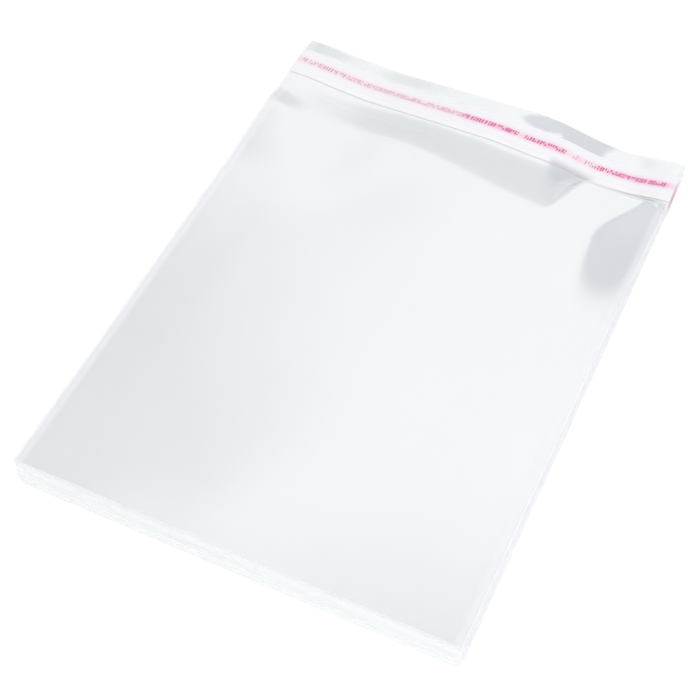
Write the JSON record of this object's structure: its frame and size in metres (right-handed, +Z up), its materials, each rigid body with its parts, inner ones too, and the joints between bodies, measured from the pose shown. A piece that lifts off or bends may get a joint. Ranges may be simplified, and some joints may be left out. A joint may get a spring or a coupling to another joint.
{
  "type": "pack of self-seal plastic bags",
  "caption": "Squared-up pack of flat clear film bags with self-adhesive flaps, lying flat: welded sides, folded bottoms, and a rippled flap end with a lined glue strip.",
  "frame": {"origin": "centre of the underside, which lies on the table", "axes": "+X across the bags, +Y from the bottom folds to the flaps, +Z up through the pack"},
  "size_m": [0.16, 0.226, 0.016],
  "materials": {
    "stacked_film": "stacked clear film, silvery white",
    "clear_film": "clear glossy film",
    "glue": "whitish soft glue",
    "liner_film": "white film with a pink printed line"
  },
  "bodies": {
    "root": {"bag_block": "stacked_film", "top_bag": "clear_film", "glue_line": "glue", "release_liner": "liner_film"}
  },
  "joints": []
}
